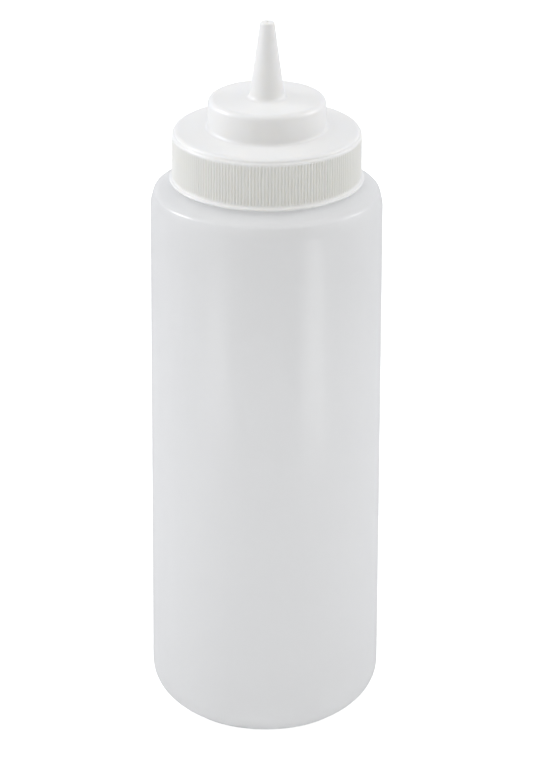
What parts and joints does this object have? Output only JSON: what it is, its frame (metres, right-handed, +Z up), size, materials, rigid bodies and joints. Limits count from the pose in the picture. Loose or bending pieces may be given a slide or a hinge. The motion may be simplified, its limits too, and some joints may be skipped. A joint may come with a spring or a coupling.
{
  "type": "squeeze bottle",
  "caption": "Tall translucent wide-mouth squeeze bottle for sauces, with a white screw-on cap: ribbed skirt, stepped deck and a tapered cone nozzle.",
  "frame": {"origin": "centre of the ring the bottle stands on, on the supporting surface", "axes": "+Z up along the bottle's axis, towards the nozzle tip; the bottle is round, so +X and +Y are free; the neck's thread begins near +X"},
  "size_m": [0.082, 0.082, 0.26],
  "materials": {
    "natural_ldpe": "milky translucent blow-moulded low-density polyethylene, satin, very slightly wavy",
    "white_ldpe": "soft satin white injection-moulded polyethylene, slightly warm and faintly translucent at thin edges",
    "soft_seal": "soft matt off-white sealing ring"
  },
  "bodies": {
    "bottle": {"bottle": "natural_ldpe"},
    "seal_carrier": {"seal_ring": "soft_seal"},
    "cap": {"nozzle_cap": "white_ldpe"}
  },
  "joints": [
    {"name": "cap_lift", "type": "slide", "parent": "bottle", "child": "seal_carrier", "axis": [0, 0, 1], "range_m": [0, 0.01588]},
    {"name": "cap_turn", "type": "hinge", "parent": "seal_carrier", "child": "cap", "pos_m": [0, 0, 0.21], "axis": [0, 0, 1], "range_deg": [0, 1350.5]}
  ],
  "couplings": [
    {"joint": "cap_turn", "follows": "cap_lift", "rad_per_m": 1484.2}
  ]
}
